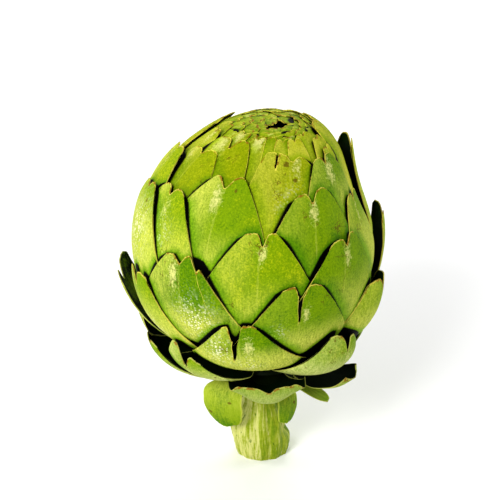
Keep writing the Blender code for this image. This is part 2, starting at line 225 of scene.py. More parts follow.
def bractSkin(name, look):
    skin = Skin(name)
    hue = {key: colour(*value) for key, value in look.items() if isinstance(value, tuple)}
    place = skin.node("UVMap", {"uv_map": "skinMap"})  # centimetres: x across the bract, y down from its tip
    spot = skin.node("TexCoord", output="Object")
    outer = skin.attribute("outer")
    edge = skin.attribute("edge")  # centimetres from the rim
    cover = skin.attribute("cover")  # centimetres from the bract that lies over this one, which sets the painted shade
    tone = skin.attribute("tone")
    # pale is paler towards the foot, and paler on the left side as painted light
    pale = skin.attribute("pale")
    bloom, brown, downy = skin.parts(skin.attribute("marks", "Color"))

    streak = skin.fibres(place, 14.0, 1.3, 3.0, 0.6)
    fine = skin.fibres(place, 44.0, 3.0)
    broad = skin.fibres(place, 1.5, 1.0)
    cloud = skin.noise(spot, 70.0, 3.0, 0.6)
    pores = skin.noise(spot, 1400.0, 2.0, 0.6)
    ragged = skin.noise(spot, 330.0, 2.0, 0.6)
    mottle = skin.noise(spot, 1300.0, 4.0, 0.8)
    # green, from deep to light, then pale veins and the midrib
    ripe = tone + (broad - 0.5) * 0.5 + (cloud - 0.5) * 0.4 + (mottle - 0.5) * 1.5 + (streak - 0.5) * 0.4
    green = skin.mix(skin.range(ripe, 0.0, 0.5), hue["deep"], hue["middle"])
    green = skin.mix(skin.range(ripe, 0.5, 1.0), green, hue["light"])
    veined = skin.range(fine * 0.5 + streak * 0.3 + mottle * 0.4, 0.45, 0.72, (0.3, 1.0))
    green = skin.mix(pale * veined, green, hue["pale"])
    x, y = skin.axes(place)[:2]
    vein = skin.range(abs(x + (broad - 0.5) * 0.12), 0.07, 0.0)
    green = skin.mix(vein * skin.range(fine, 0.4, 0.6) * 0.4, green, hue["pale"])
    # down, bloom and brown stains where a piece's marks are, and freckles and scratches everywhere
    hairs = skin.fibres(place, 30.0, 5.0, 4.0, 0.75)
    blotchy = skin.noise(spot, 650.0, 4.0, 0.75)
    felt = skin.range(downy * 0.9 + (blotchy - 0.5) * 2.2 + (hairs - 0.5) * 1.5, 0.45, 1.1)
    green = skin.mix(felt * 0.8, green, hue["down"])
    specks = skin.range(skin.spots(spot, 900.0) + (ragged - 0.5) * 0.5, 0.42, 0.2)
    patchy = skin.range(skin.noise(spot, 260.0, 3.0, 0.7), 0.42, 0.62)
    dusting = skin.range(specks * 0.75 + patchy * 0.45, 0.25, 0.8)
    green = skin.mix(bloom * dusting, green, hue["bloom"])
    blots = skin.range(brown + (ragged - 0.5) * 1.6, 0.45, 0.75)
    green = skin.mix(blots * 0.75, green, hue["brown"])
    freckles = skin.range(skin.spots(spot, 190.0), 0.12, 0.05) * skin.range(cloud, 0.5, 0.62)
    green = skin.mix(freckles * 0.75, green, hue["brown"])
    curve = abs(skin.noise(spot, 150.0, 3.0, 0.5) - 0.5)
    scratched = skin.range(curve, 0.012, 0.003) * skin.range(skin.noise(spot, 75.0, 1.0, 0.5), 0.6, 0.66)
    green = skin.mix(scratched * 0.7, green, hue["brown"])
    green = skin.dim(green, (mottle - 0.5) * 0.9 + 1.0)
    # the rim, singed near the tip, and painted shade: deeper green beside the neighbours that lie over a
    # bract, near black under them
    rim = skin.range(edge + (ragged - 0.5) * 0.04, look["rimFrom"], look["rimTo"])
    green = skin.mix(rim, green, hue["rim"])
    burnt = skin.noise(spot, 420.0, 3.0, 0.7) + skin.range(y, 0.9, 0.2) * 0.16
    singed = skin.range(burnt, 0.62, 0.74) * skin.range(edge, 0.10, 0.03)
    green = skin.mix(singed * 0.9, green, hue["singed"])
    # painted shade: the green turns deeper near a neighbour's edge
    paintedShadeGreen = skin.stretch(green, look["paintedShadeTint"])
    green = skin.mix(skin.range(cover + (cloud - 0.5) * 0.3, -0.03, 0.42), paintedShadeGreen, green)
    # painted shade: near black under a neighbour's edge
    green = skin.dim(green, skin.range(cover + (ragged - 0.5) * 0.05, look["shadeFrom"], look["shadeTo"]))

    # the inner face: dark green to near black, painted shade for the shade between the bracts
    inside = streak * 0.6 + (cloud - 0.5) * 1.4 + (mottle - 0.5) * 0.8 + tone * 0.8
    inside = skin.range(inside, look["insideFrom"], look["insideFrom"] + 0.4)
    inside = skin.mix(inside, hue["inside"], hue["insideLight"])
    inside = skin.mix(pale * veined * look["insidePale"], inside, hue["pale"])
    inside = skin.mix(blots * 0.75, inside, hue["brown"])
    inside = skin.mix(rim * 0.6, inside, hue["rim"])
    skin.set(
        Base_Color=skin.mix(outer, inside, green),
        Roughness=skin.range(cloud, 0.2, 0.8, (look["roughness"] - 0.06, look["roughness"] + 0.08)),
    )
    height = streak * 0.5 + fine * 0.6 + pores * 0.3 + bloom * specks * 0.8
    bump = skin.node("Bump", None, {"Strength": look["bump"], "Distance": 0.00025, "Height": height})
    skin.set(Normal=bump, Specular_IOR_Level=look["specular"])
    return skin.material


# The rim and the shade under a neighbour start and end at these distances, in centimetres.
headLook = dict(
    deep=(0.055, 0.165, 0.000),
    middle=(0.160, 0.280, 0.000),
    light=(0.360, 0.420, 0.003),
    pale=(0.620, 0.640, 0.090),
    down=(0.660, 0.650, 0.200),
    bloom=(0.820, 0.820, 0.520),
    brown=(0.090, 0.040, 0.003),
    rim=(0.620, 0.560, 0.070),
    rimFrom=0.045,
    rimTo=0.02,
    singed=(0.220, 0.070, 0.003),
    # inside and insideLight are painted shade: the inner faces are near black, as they lie in the shade
    # between the bracts
    inside=(0.0005, 0.004, 0.000),
    insideLight=(0.003, 0.016, 0.000),
    insideFrom=0.5,
    insidePale=0.0,
    # painted shade: shadeFrom and shadeTo darken a bract under a neighbour's edge, and the tint after them
    # deepens its green beside it
    shadeFrom=-0.07,
    shadeTo=0.035,
    paintedShadeTint=(0.36, 0.66, 0.03),
    roughness=0.62,
    specular=0.03,
    bump=0.5,
)
crownLook = {
    **headLook,
    "middle": (0.240, 0.305, 0.000),
    "light": (0.410, 0.440, 0.010),
    "pale": (0.640, 0.620, 0.080),
    "inside": (0.130, 0.160, 0.004),
    "insideLight": (0.180, 0.200, 0.010),
    "rim": (0.700, 0.640, 0.060),
    "shadeFrom": -0.12,
    "shadeTo": 0.03,
    "paintedShadeTint": (0.58, 0.78, 0.05),
}
baseLook = {
    **headLook,
    "light": (0.380, 0.430, 0.020),
    "pale": (0.560, 0.600, 0.180),
    # painted shade: the inner faces of the base bracts stay near black
    "insideLight": (0.120, 0.210, 0.002),
    "insideFrom": 1.2,
    "rim": (0.450, 0.480, 0.090),
    "rimFrom": 0.03,
    "rimTo": 0.012,
}
leafLook = {
    **headLook,
    "deep": (0.080, 0.250, 0.000),
    "middle": (0.220, 0.420, 0.000),
    "light": (0.480, 0.560, 0.010),
    "inside": (0.050, 0.160, 0.000),
    "insideLight": (0.200, 0.310, 0.001),
    "insidePale": 0.8,
    "rim": (0.500, 0.540, 0.060),
}
skins = {
    "crown": bractSkin("crown_bract_skin", crownLook),
    "head": bractSkin("head_bract_skin", headLook),
    "base": bractSkin("base_bract_skin", baseLook),
    "leaf": bractSkin("stem_leaf_skin", leafLook),
}
print("bract skins made")

# How single bracts stand: turn and slip are degrees from the spiral's place, and the rest is in millimetres,
# except that liftPower and hug have no unit and notchAt goes from -1 to 1. Lift holds the tip off the head,
# bulge the middle, and hug keeps the sides in.
standing = {
    7: dict(turn=-6, slip=4.8, crest=7.4, notch=4.3, notchAt=0.15, tilt=-0.9, lift=0.9),
    8: dict(slip=-2),
    10: dict(turn=2.6, slip=2.2, crest=7.9, notch=2.7, notchAt=0.16, tilt=2.8, lift=0),
    12: dict(turn=9, slip=0.5, crest=7.6, notch=2, notchAt=0, tilt=-1.5, lift=0.2),
    13: dict(turn=-18, slip=-0.6, width=37, crest=6.1, notch=3.6, lift=0.2),
    15: dict(turn=-6.8, width=44, notch=4.8, tilt=-0.6, lift=0.7),
    16: dict(turn=-6, slip=2.5, lift=4.2, liftPower=4),
    17: dict(turn=19, slip=-6.5, width=33, crest=6.2, notch=1.5, tilt=-1, lift=2.3, liftPower=5, hug=0.1),
    18: dict(turn=-5.4, slip=-0.7, crest=8, notch=4.1, tilt=-0.7),
    20: dict(turn=-6.8, slip=-2.3, notch=3, lift=1.1),
    21: dict(turn=-21, slip=0.6, width=30, crest=6.4, notch=2.8, lift=0.1),
    23: dict(turn=-1.2, slip=0.3, notch=4.9, notchAt=0.1),
    25: dict(turn=5, slip=-11.5, crest=6.7, notch=1.8, tilt=-1, lift=1.8, hug=0.1),
    26: dict(turn=-9.8, crest=8.1, notch=3.6, notchAt=0.2, tilt=-0.8, lift=0.7),
    28: dict(turn=-5.7, slip=-0.8, crest=8.5, notch=3, tilt=-0.8, lift=1),
    29: dict(turn=-3.5, slip=0, width=26, tilt=-1, lift=4.6, liftPower=1, bulge=0, hug=0.4),
    30: dict(turn=3, slip=1),
    31: dict(turn=-0.9, slip=1.1, crest=8.5, notch=4.2, lift=0.15),
    32: dict(lift=1.05, bulge=1.4),
    33: dict(turn=-2.5, slip=0.5, width=34, lift=1.5, liftPower=1, bulge=2, hug=0.6),
    34: dict(turn=-1, slip=4, width=36, lift=3.8, liftPower=1, bulge=4.6, hug=0.95),
    36: dict(
        turn=2.8, slip=4.1, crest=7.2, notch=6.5, notchAt=-0.2, tilt=-0.5, lift=1.2, bulge=5.9, hug=0.38,
    ),
    37: dict(lift=1.2, bulge=2, hug=0.1),
    38: dict(turn=-3, slip=-2, width=29, crest=9, tilt=3, lift=6.7, bulge=4, hug=0.2),
    39: dict(turn=6, slip=9, width=40, tilt=2, lift=4.3, bulge=8.2, hug=0.5),
    40: dict(lift=3.7),
    41: dict(turn=1, slip=11.5, width=34, tilt=3, lift=4.4, bulge=7.4, hug=0.22),
    42: dict(slip=4, lift=2, bulge=5.5, hug=0.12),
    43: dict(hug=0.36),
    45: dict(hug=0.1),
    46: dict(turn=1, width=42, lift=6, bulge=6.8, hug=0.2),
}

# What the skin of single bracts carries. Tone goes from deep to light green. A mark is its kind, how far it
# lies across and down from the middle of the tip, its radius and its strength. A crack runs down from the tip
# at this share of the half width, opens by gap, and drops the side beyond it by step. Pale starts at the
# first depth and is full at the second, and palest is how pale it gets there. One more number sets how much
# paler the left side of the bract is: that is painted light, where the key light falls from the left.
character = {
    7: dict(tone=0.5, marks=[("downy", -4, 6, 4, 1.2), ("brown", 4, 8, 1.0, 1.0)], veil=0.8),
    9: dict(tone=0.8),
    10: dict(
        tone=0.65,
        marks=[
            ("brown", -1, 4, 1.5, 1.1), ("brown", 2, 11, 1.2, 1.1), ("brown", -2, 8, 0.8, 1.0),
            ("downy", 3, 6, 2.5, 0.9), ("bloom", 0, 22, 5, 0.6),
        ],
        crack=dict(at=-0.42, depth=7, gap=0.8),
    ),
    12: dict(tone=0.5, marks=[("downy", -6, 9, 3.5, 1.1), ("brown", 5, 6, 0.9, 1.0)], palest=0.5, veil=0.8),
    13: dict(tone=0.35, marks=[("downy", 1, 7, 3.5, 1.1)], pale=(8, 24)),
    15: dict(
        tone=0.5, veil=0.8, notchWide=0.3,
        marks=[("downy", -2, 9, 2.8, 1.1), ("brown", 4.5, 5, 0.8, 1.1)],
    ),
    17: dict(tone=0.75, palest=0.9, veil=0.7),
    18: dict(
        tone=0.45, palest=0.3, veil=0.2,
        marks=[("downy", 0, 8, 2.4, 1.1), ("brown", -4, 9, 1.6, 0.8), ("brown", 1, 12, 0.8, 1.0)],
    ),
    20: dict(
        tone=0.65, pale=(6, 26), veil=0.7,
        marks=[("bloom", 1, 19, 5, 0.9), ("downy", 1, 8, 3, 0.7)],
    ),
    21: dict(tone=0.5, pale=(6, 20)),
    23: dict(
        tone=0.62, pale=(14, 36), palest=0.5,
        marks=[("downy", 1, 7.5, 2.0, 1.1), ("brown", 0.5, 12, 0.8, 0.9)],
    ),
    25: dict(
        tone=0.6, pale=(0, 14), palest=0.75,
        marks=[("bloom", 2, 18, 8, 1.0), ("brown", 4, 6, 1, 1)],
    ),
    26: dict(tone=0.35, marks=[("downy", 2, 7, 2.6, 1.0)], pale=(10, 28), palest=0.6, veil=0.0),
    28: dict(
        tone=0.22, pale=(15, 30), palest=0.9, veil=0.6, crack=dict(at=0.58, depth=26, gap=0.9, step=7),
        marks=[("downy", -3, 8, 3.0, 1.1), ("bloom", 6, 26, 7, 1.0)],
    ),
    31: dict(
        tone=0.38, pale=(14, 28), palest=0.9, veil=0.1, crack=dict(at=-0.03, depth=13, gap=1.7),
        marks=[("downy", 2.5, 12, 2.2, 1.0), ("bloom", -9, 22, 3.5, 0.7)],
    ),
    33: dict(tone=0.6, marks=[("bloom", 2, 26, 5, 0.8)], pale=(4, 24), palest=0.9, veil=0.5),
    34: dict(tone=0.5, pale=(2, 20), palest=0.9),
    36: dict(
        tone=0.28, pale=(7, 17), palest=0.95, veil=0.5, crack=dict(at=-0.16, depth=12, gap=2.0),
        marks=[("bloom", -8, 12, 5, 0.9), ("downy", 3.5, 9, 2.6, 1.0), ("bloom", 3, 19, 4, 0.6)],
    ),
    38: dict(tone=1.3, pale=(2, 20), palest=0.6),
    39: dict(tone=0.5, pale=(2, 14), palest=0.9),
    41: dict(tone=0.6, pale=(2, 12), palest=0.9, veil=0.6),
    46: dict(tone=0.6, pale=(2, 12), palest=0.9, veil=0.6),
}
markReach = dict(bloom=1.3, brown=1.0, downy=2.4)  # how much longer than wide each kind of mark is
# A sheet's mesh, and how thick it is in the middle and at its edge.
fineBract = dict(columns=60, rows=66, crowding=1.5, middle=1.15 * mm, edge=0.38 * mm)
fineScale = dict(columns=26, rows=30, crowding=1.3, middle=0.45 * mm, edge=0.25 * mm)
youngBract = dict(width=36, crest=6.5, belly=22, notch=3.2, shoulder=2.2)
bractGrowth = dict(width=13, crest=1, belly=6, notch=2.6, shoulder=1)  # what a full-grown bract has on top
loosening = dict(start=0.3, lift=0.5, bulge=0.75, most=9.5)  # from start, by so much with each loose bract
# These scales fill in below the spiral's last: azimuth, tip angle, width, how downy, and lift.
moreScales = {
    7.1: (-17, 17.7, 9, 1.6, 0.4),
    7.2: (15, 19.3, 10, 0.3, 0.4),
    7.3: (29, 21, 10, 0.2, 0.4),
    7.4: (60, 24, 15, 0.4, 0.4),
    7.5: (62, 31, 11, 0.6, 0.4),
    7.6: (-77, 23.3, 16, 1.0, 1.2),
    7.7: (-44, 16.4, 9, 1.2, 0.4),
}
youngScale = dict(width=9, crest=1.6, belly=4.5, notch=0, shoulder=0.8)
scaleGrowth = dict(width=16, crest=1.2, belly=8, notch=1.6, shoulder=0.7)
# How uneven a bract is, in millimetres.
raggedTip = ((0.35, 6, 0), (0.25, 17, 3), (0.18, 41, 4))  # depth, waves across and row of noise
unevenSkin = ((0.05, 1.1, 14), (0.03, 0.5, 9), (0.16, 9, 13))  # height, and length across and down
midrib = dict(height=0.12, halfWidth=2.2, fades=22)
trough = dict(depth=0.15, halfWidth=7)  # the midrib runs down its middle
coverShade = dict(
    reach=6 * mm,  # a bract's painted shade ends this far out from under its neighbour
    inNotch=0.85,
    toRight=0.6,  # painted shade reaches further on a bract's right, as the key light comes from the left
    toLeft=1.2,
)
overlap = dict(layers=math.radians(60), turn=math.radians(82))  # bracts further apart don't overlap
sharpAngle = math.radians(55)


def bractFacts(number):
    stand = standing.get(number, {})
    steps = number - spiral["frontBract"]
    layer = spiral["frontTipAngle"] + spiral["tipAngleStep"] * steps
    tip = layer + stand.get("slip", 0)
    loose = max(number - spiral["firstLoose"], 0)
    growth = smoothStep(number, crown["outermost"], spiral["frontBract"])
    vary = random.Random(number + 100)
    sizes = {key: size + growth * bractGrowth[key] for key, size in youngBract.items()}
    sizes.update(notchAt=0.0, tilt=0.0, lift=loosening["start"] + loosening["lift"] * loose)
    sizes.update(bulge=min(loosening["bulge"] * loose, loosening["most"]))
    sizes.update(liftPower=1 if loose else 5, hug=0.4)
    sizes.update({key: value for key, value in stand.items() if key not in ("turn", "slip")})
    for key in ("width", "crest", "belly", "notch", "shoulder", "tilt", "lift", "bulge"):
        sizes[key] *= mm
    bract = dict(
        number=number,
        azimuth=math.radians(spiral["frontAzimuth"] + spiral["goldenTurn"] * steps + stand.get("turn", 0)),
        layer=math.radians(layer),
        tip=math.radians(tip),
        length=head["meanRadius"] * math.radians(spiral["footAngle"] - tip),
        slope=blend(spiral["openSlope"], spiral["nestSlope"], smoothStep(number, *spiral["opensBetween"])),
        deepSlope=spiral["nestSlope"],
        dives=spiral["dives"],
        widestHalfTurn=spiral["widestHalfTurn"],
        notchWide=0.2 + vary.uniform(-0.04, 0.03),
        curl=vary.uniform(0.0, 0.35) * mm,
        tone=vary.uniform(0.4, 0.7),
        pale=(18, 36),
        palest=0.75,
        veil=0.35,
        marks=[("downy", vary.uniform(-1, 1), 4 + 4 * growth, 1.4 + 1.4 * growth, 0.7)],
        crack=None,
        grid=fineBract,
        **sizes,
    )
    bract.update(character.get(number, {}))
    return bract


def scaleFacts(number):
    rank = min((number - crown["countStart"]) / (crown["outermost"] + 0.5 - crown["countStart"]), 1)
    vary = random.Random(int(number * 10) + 1000)
    turn = spiral["frontAzimuth"] + spiral["goldenTurn"] * (number - spiral["frontBract"])
    tip = crown["tipAngle"] * rank ** crown["tipPower"]
    sizes = {key: size + rank * scaleGrowth[key] for key, size in youngScale.items()}
    felt = vary.uniform(0, 1.2)
    lift = rank - crown["sunk"] + vary.choice(crown["unevenLift"])
    if number in moreScales:
        turn, tip, sizes["width"], felt, lift = moreScales[number]
    tip = math.radians(tip)
    sizes = {key: size * mm for key, size in sizes.items()}
    marks = [("downy", vary.uniform(-1, 1), 3, 2.2, felt), ("brown", 0, 0.2, 1.1, vary.uniform(0.5, 1.6))]
    return dict(
        number=number,
        azimuth=math.radians(turn),
        layer=tip,
        tip=tip + math.radians(vary.uniform(-0.5, 0.5)),
        length=crown["length"],
        slope=crown["slope"],
        deepSlope=crown["deepSlope"],
        dives=crown["dives"],
        widestHalfTurn=crown["widestHalfTurn"],
        notchAt=vary.uniform(-0.1, 0.1),
        notchWide=0.22,
        tilt=vary.uniform(-0.3, 0.3) * mm,
        lift=lift * mm,
        liftPower=6,
        bulge=0.0,
        hug=0.0,
        curl=0.0,
        tone=vary.uniform(0.5, 1.0),
        pale=(2, 6),
        palest=0.35,
        veil=0.4,
        marks=marks,
        crack=None,
        grid=fineScale,
        **sizes,
    )


def halfWidth(bract, down):  # widens from the crest to the belly, then narrows towards the foot
    belly = min(bract["belly"], 0.6 * bract["length"])
    widest = bract["width"] / 2
    if down < belly:
        rise = 1 - (1 - max(down, 0) / belly) ** 1.3
        return bract["crest"] + (widest - bract["crest"]) * rise**0.9
    return widest * (1 - 0.5 * ((down - belly) / (bract["length"] - belly)) ** 2)


def tipDrop(bract, u):  # how far the tip's edge lies below its highest line, at this share of the half width
    t = max(0, (abs(u) - 0.5) / 0.5)
    shoulder = bract["shoulder"] * (1 - math.sqrt(1 - min(t, 1) ** 2))
    notch = bract["notch"] * bell(u - bract["notchAt"], bract["notchWide"])
    ragged = sum(depth * grain(u * waves, row, bract["number"]) for depth, waves, row in raggedTip) * mm
    return notch + shoulder + bract["tilt"] * u + ragged


def crackShift(bract, u, v):  # how a crack pushes the columns on its two sides apart, in u
    crack = bract["crack"]
    if not crack:
        return 0.0
    down = bract["length"] * v
    opening = max(0.0, 1 - down / (crack["depth"] * mm)) ** 0.8
    away = u - crack["at"]
    push = crack["gap"] * mm * opening / max(halfWidth(bract, down), 1 * mm)
    wander = 0.05 * grain(down / mm / 5, 1, bract["number"]) * opening
    return (math.copysign(push / 2, away) + wander) * bell(away, 0.35)


def relief(bract, across, down):  # millimetres in, metres out
    height = 0
    for step, (high, wide, long) in enumerate(unevenSkin):
        height += high * grain(across / wide, down / long, bract["number"] + step)
    height += midrib["height"] * bell(across, midrib["halfWidth"]) * math.exp(-down / midrib["fades"])
    height -= trough["depth"] * bell(across, trough["halfWidth"])
    return height * mm * min(1, bract["width"] / (30 * mm))


def bractPoint(bract, u, v, side):  # u goes from -1 to 1 across, v from 0 at the tip to 1 at the foot
    crack = bract["crack"]
    drop = tipDrop(bract, u)
    if crack and u > crack["at"]:
        drop += crack.get("step", 0) * mm * min(1, (1 - u) / (1 - crack["at"]) + 0.3)
    down = drop + (bract["length"] - drop) * v
    angle = bract["tip"] + down / head["meanRadius"]
    half = halfWidth(bract, bract["length"] * v)
    half *= 1 + 0.012 * grain(v * 40, 5, bract["number"])
    shifted = u + crackShift(bract, u, v)
    across = shifted * half
    grid = bract["grid"]
    thick = blend(grid["edge"], grid["middle"], (1 - u * u) * smoothStep(down / (24 * mm)))
    along = min(down / bract["length"], 1)
    standOff = bract["lift"] * (1 - along) ** bract["liftPower"] + bract["bulge"] * 4 * along * (1 - along)
    standOff *= 1 - bract["hug"] * u * u
    buried = head["meanRadius"] * (angle - bract["layer"])
    standOff -= buried * blend(bract["slope"], bract["deepSlope"], smoothStep(buried / mm, *bract["dives"]))
    standOff += bract["curl"] * bell(down, 5 * mm)
    standOff += relief(bract, across / mm, down / mm) * smoothStep(down / (3 * mm), -0.5, 1)
    radius, z = envelope(angle, standOff + side * thick / 2)
    halfTurn = min(half / max(radius, 1 * mm), bract["widestHalfTurn"])
    point = around(radius, bract["azimuth"] + shifted * halfTurn, z)
    if grid is fineScale:
        point = gathered(point, angle)
    return point, across, down


def gathered(point, angle):  # slides a crown scale's point over the envelope, towards where the scales gather
    axis = Vector((axisShift(point.z), 0))
    out = point.xy - axis
    slid = out + crown["gather"] * (1 - smoothStep(math.degrees(angle), *crown["gatherFades"]))
    before, after = (math.sqrt(1 - min(flat.length / head["radius"], 0.9) ** 2) for flat in (out, slid))
    return Vector((*(axis + slid), point.z + head["halfHeight"] * (after - before)))


def coverDistance(bract, azimuth, angle):  # metres out from under the bracts that lie over this one, which sets the painted shade
    nearest = coverShade["reach"]
    radius = head["radius"] * math.sin(angle)
    for other in covers[bract["number"]]:
        turn = math.remainder(azimuth - other["azimuth"], 2 * math.pi)
        down = (angle - other["tip"]) * head["meanRadius"]
        across = abs(turn) * radius
        half = halfWidth(other, down)
        if down < -nearest or across - half > nearest:
            continue
        half = min(half, other["widestHalfTurn"] * radius)
        u = turn * radius / half
        sideways = across - half
        above = tipDrop(other, max(min(u, 1), -1)) - down
        if above > 0:  # a notch holds shadow
            inNotch = bell(u - other["notchAt"], other["notchWide"]) * smoothStep(down / mm, -1.5, 1.5)
            above *= 1 - coverShade["inNotch"] * inNotch
        if sideways > 0 and above > 0:
            distance = math.hypot(sideways, above)
        else:
            distance = max(sideways, above)
        if distance > 0 and sideways > above:
            distance *= coverShade["toRight"] if turn > 0 else coverShade["toLeft"]
        nearest = min(nearest, distance)
    return nearest


def gridPlace(co, crowding):  # rows crowd towards the tip and columns towards the sides
    u = 0.5 * math.sin(co.x * math.pi / 2) + 0.5 * co.x
    return u, ((1 - co.y) / 2) ** crowding


def sheetPiece(name, place, facts, keep=None):  # a grid and its copy, placed apart and joined along the rim
    grid = facts["grid"]
    bm = bmesh.new()
    layers = {key: bm.verts.layers.float.new(key) for key in ("outer", "edge", "cover", "tone", "pale")}
    marksLayer = bm.verts.layers.float_color.new("marks")
    uvLayer = bm.loops.layers.uv.new("skinMap")
    bmesh.ops.create_grid(bm, x_segments=grid["columns"], y_segments=grid["rows"], size=1)
    if keep:
        gone = [f for f in bm.faces if not keep(*gridPlace(f.calc_center_median(), grid["crowding"]))]
        bmesh.ops.delete(bm, geom=gone, context="FACES")
    outer = bm.verts[:]
    copied = bmesh.ops.duplicate(bm, geom=bm.verts[:] + bm.edges[:] + bm.faces[:])["geom"]
    inner = [item for item in copied if isinstance(item, bmesh.types.BMVert)]
    spots = {}
    for verts, side in ((outer, 1), (inner, -1)):
        for vert in verts:
            u, v = gridPlace(vert.co, grid["crowding"])
            point, across, down, edge, cover = place(u, v, side)
            paleFoot = facts["palest"] * smoothStep(down / mm, *facts["pale"])
            # painted light: the left side of the bract is paler, where the key light falls
            leftPaintedLight = facts["veil"] * smoothStep(-u, -0.1, 0.7)
            spots[vert] = (across / cm, down / cm)
            vert[layers["outer"]] = 1.0 if side > 0 else 0.0
            vert[layers["edge"]] = min(edge / cm, 1.0)
            vert[layers["cover"]] = cover / cm
            vert[layers["tone"]] = facts["tone"]
            vert[layers["pale"]] = max(paleFoot, leftPaintedLight)
            vert[marksLayer] = marksAt(facts["marks"], across / mm, down / mm)
            vert.co = point
    bmesh.ops.bridge_loops(bm, edges=[e for e in bm.edges if e.is_boundary])
    for face in bm.faces:
        for loop in face.loops:
            loop[uvLayer].uv = spots[loop.vert]
    bmesh.ops.recalc_face_normals(bm, faces=bm.faces[:])
    return finishPiece(name, bm)


def marksAt(marks, across, down):  # how much bloom, brown and down there is here
    found = {kind: 0.0 for kind in markReach}
    for kind, x, y, radius, strength in marks:
        near = math.hypot(across - x, (down - y) / markReach[kind]) / radius
        found[kind] = max(found[kind], strength * math.exp(-near * near))
    return (*found.values(), 1.0)


def finishPiece(name, bm):
    mesh = bpy.data.meshes.new(name)
    bm.to_mesh(mesh)
    bm.free()
    mesh.shade_smooth()
    mesh.set_sharp_from_angle(angle=sharpAngle)
    piece = bpy.data.objects.new(name, mesh)
    scene.collection.objects.link(piece)
    return piece


def closedBract(bract, name):
    crack = bract["crack"]
    visible = 45 * mm  # the bracts above hide whatever is further down than this

    def place(u, v, side):
        point, across, down = bractPoint(bract, u, v, side)
        half = halfWidth(bract, bract["length"] * v)
        edge = min((1 - abs(u)) * half, bract["length"] * v)
        if crack and bract["length"] * v < crack["depth"] * mm * 1.1:
            edge = min(edge, abs(u - crack["at"]) * half)
        angle = bract["tip"] + down / head["meanRadius"]
        turn = across / max(head["radius"] * math.sin(angle), 1 * mm)
        cover = coverShade["reach"]
        if side > 0:
            # painted shade: past the depth that the bracts above hide, the outer face is darkened to a deep
            # green
            cover = coverDistance(bract, bract["azimuth"] + turn, angle) if down < visible else 0.0
        return point, across, down, edge, cover

    def keep(u, v):  # leaves out the grid's faces along the crack
        column = 1.1 / bract["grid"]["columns"]
        return abs(u - crack["at"]) > column or v * bract["length"] > crack["depth"] * mm * 0.95

    return sheetPiece(name, place, bract, keep if crack else None)


def dress(piece, skin, slot, node=None):
    piece.data.materials.append(skin)
    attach(piece, "root")
    if node:
        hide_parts(node)


lastOfZone = {"crown": 12, "head": 37, "base": spiral["lastClosed"]}


def zoneOf(number):
    return next(zone for zone, last in lastOfZone.items() if number <= last)


def nodeOf(number):
    if number <= crown["outermost"]:
        return f"bud_scale_{number - crown['separate'] + 1:02d}"
    return f"{zoneOf(number)}_bract_{number:02d}"


scales = [*range(crown["innermost"], crown["outermost"] + 1), *moreScales]
closed = {number: scaleFacts(number) for number in scales}
for number in range(crown["outermost"] + 1, spiral["lastClosed"] + 1):
    if number != spiral["dished"]:
        closed[number] = bractFacts(number)


def liesOver(other, bract):
    turn = math.remainder(other["azimuth"] - bract["azimuth"], 2 * math.pi)
    return 0 < other["layer"] - bract["layer"] < overlap["layers"] and abs(turn) < overlap["turn"]


covers = {}
for number, bract in closed.items():
    covers[number] = [other for other in closed.values() if liesOver(other, bract)]
budTips = [number for number in closed if number < crown["separate"] or number in moreScales]

for number, bract in closed.items():
    if number in budTips:
        piece = closedBract(bract, f"bud_tip_{budTips.index(number) + 1:02d}_fine")
        dress(piece, skins["crown"], "bud_skin")
        continue
    node = nodeOf(number)
    zone = zoneOf(number)
    dress(closedBract(bract, node + "_fine"), skins[zone], zone + "_bract_skin", node)
print("closed bracts made")

# Each loose leaf's midline runs outwards in the plane at its azimuth. Its four points are distances from the
# axis and heights. Lengths are in millimetres and angles in degrees.
looseLeaves = {
    "base_bract_44": dict(
        azimuth=4, line=[(13, 39.5), (22, 33), (33, 34), (37, 47.5)],
        width=30, tipShare=0.75, tipCup=1.5, cup=13, notch=2.5,
    ),
    "base_bract_47": dict(
        azimuth=66, line=[(12.5, 39.5), (22, 35.5), (33, 35), (39.8, 41)],
        width=22, tipShare=0.45, tipCup=3, cup=3.5,
    ),
    "base_bract_48": dict(
        azimuth=-164, line=[(12.5, 39), (23, 32.5), (34, 36), (40, 45)],
        width=28, tipShare=0.4, tipCup=4, cup=4, notch=3,
    ),
    "base_bract_50": dict(
        azimuth=115, line=[(12.5, 39), (24, 32), (34, 35), (40, 42)],
        width=22, tipShare=0.4, tipCup=4, cup=4, notch=2,
    ),
    "base_bract_51": dict(
        azimuth=-104, line=[(12.5, 39), (26, 30.5), (42, 41.5), (49, 56.5)],
        width=21.5, tipShare=0.4, tipCup=3.5, cup=3.5,
    ),
    "stem_leaf_left": dict(
        azimuth=-50, facing=-25, line=[(9.9, 36), (23, 40), (23.5, 29), (19, 17)],
        width=16.5, tipShare=0.35, tipCup=-1.5, cup=-1.5, tone=0.6, pale=(-4, 30),
        marks=[
            ("brown", -5, 6, 1.2, 0.9), ("brown", 4, 13, 1.0, 0.9), ("downy", 5, 7, 2.2, 0.9),
            ("bloom", -3, 15, 4, 0.5),
        ],
    ),
    "stem_leaf_right": dict(
        azimuth=44, facing=35, line=[(8.8, 30.5), (15.5, 35), (17.5, 27), (14.5, 17.5)],
        width=9, tipShare=0.5, tipCup=-1.5, cup=-1.5, tone=0.55, pale=(-4, 30),
        marks=[("brown", 2, 9, 1.0, 0.9), ("downy", -1.5, 5, 1.6, 1.0), ("brown", -2, 13, 0.8, 0.9)],
    ),
    "stem_leaf_pointed": dict(
        azimuth=56, line=[(9.6, 35), (15, 36.5), (24, 33.5), (31, 31)],
        width=7.5, tipShare=0.1, tipCup=0.5, cup=0.5, tone=0.2,
    ),
}
fineLeaf = dict(columns=36, rows=34, crowding=1.2, middle=1.2 * mm, edge=0.28 * mm)


